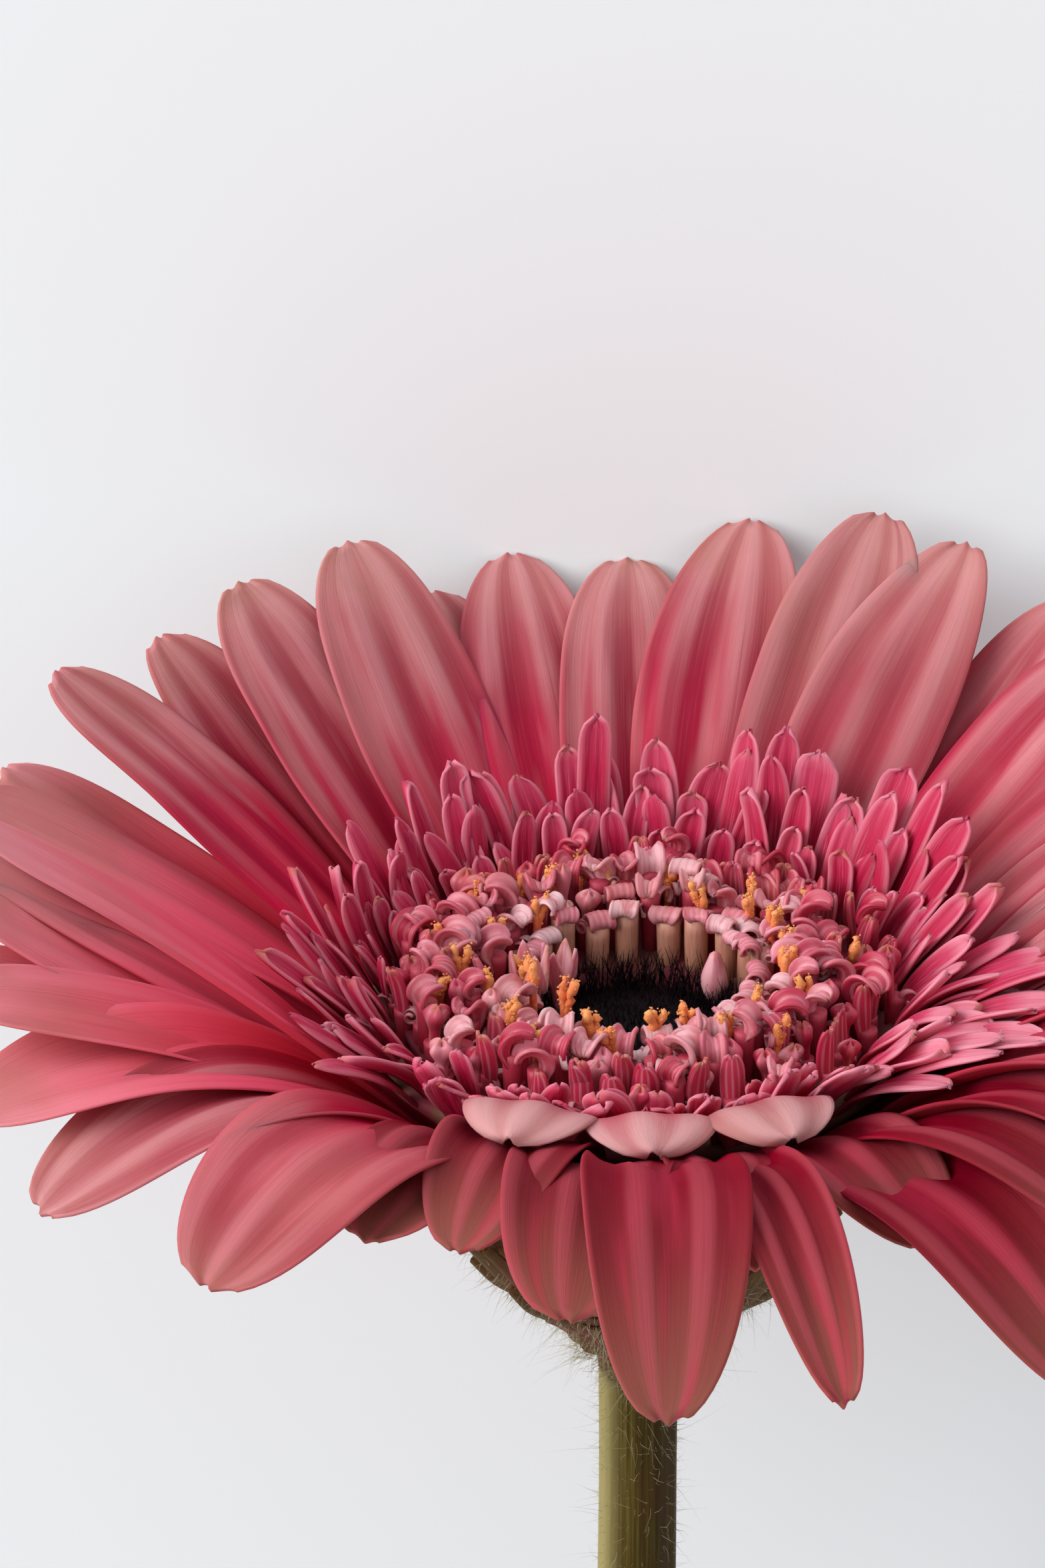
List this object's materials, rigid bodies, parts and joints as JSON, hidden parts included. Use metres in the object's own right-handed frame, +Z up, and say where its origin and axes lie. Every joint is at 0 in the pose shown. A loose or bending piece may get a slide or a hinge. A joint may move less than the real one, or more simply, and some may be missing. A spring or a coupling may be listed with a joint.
{
  "type": "cut gerbera",
  "caption": "Pink semi-double gerbera bloom on a bare, slant-cut stem, lying on its side with the flower facing forward.",
  "frame": {"origin": "bottom centre of the bounding box, on the surface that the flower lies on", "axes": "+X from the stem's cut end to the flower's face, +Z up, +Y to the left of a viewer who looks along +X"},
  "size_m": [0.3838, 0.1014, 0.0976],
  "materials": {
    "stem": "matt, finely hairy",
    "bracts": "matt, hairy",
    "rays": "satin, thin and slightly translucent",
    "trans": "satin, slightly translucent",
    "disc": "satin",
    "eye": "matt"
  },
  "bodies": {
    "root": {"stem": "stem", "involucre": "bracts", "ray_florets": "rays", "trans_florets": "trans", "disc_florets": "disc", "disc_eye": "eye"}
  },
  "joints": []
}
